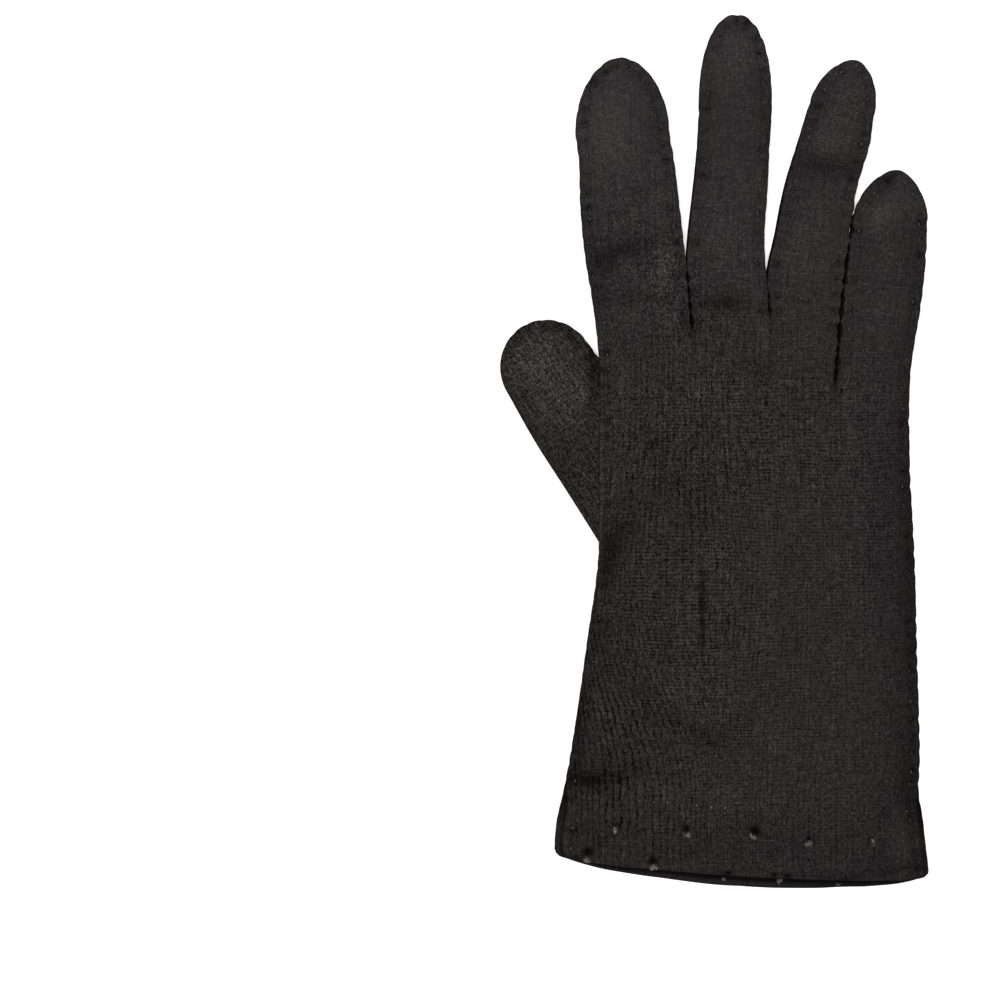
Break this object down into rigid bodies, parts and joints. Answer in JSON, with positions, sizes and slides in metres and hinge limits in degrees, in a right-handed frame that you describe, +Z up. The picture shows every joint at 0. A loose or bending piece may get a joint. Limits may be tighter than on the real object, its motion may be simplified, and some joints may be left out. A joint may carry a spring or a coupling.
{
  "type": "evening glove",
  "caption": "Wrist length evening glove for the right hand in fine knit cloth, lying flat and palm down with its thumb folded under the palm.",
  "frame": {"origin": "middle of the bounding box at the surface that the glove lies on", "axes": "+X across the hand towards the little finger, +Y from the cuff to the fingertips, +Z up, out of the back of the hand"},
  "size_m": [0.1158, 0.2358, 0.0112],
  "materials": {
    "back_panel": "fine black double knit cloth, matte",
    "palm_panel": "fine black double knit cloth, matte, with an open hem at the cuff",
    "fourchette_index_middle": "fine black double knit cloth, matte",
    "fourchette_middle_ring": "fine black double knit cloth, matte",
    "fourchette_ring_little": "fine black double knit cloth, matte",
    "thumb": "fine black double knit cloth, matte"
  },
  "bodies": {
    "root": {"back_panel": "back_panel", "palm_panel": "palm_panel", "fourchette_index_middle": "fourchette_index_middle", "fourchette_middle_ring": "fourchette_middle_ring", "fourchette_ring_little": "fourchette_ring_little", "thumb": "thumb"}
  },
  "joints": []
}
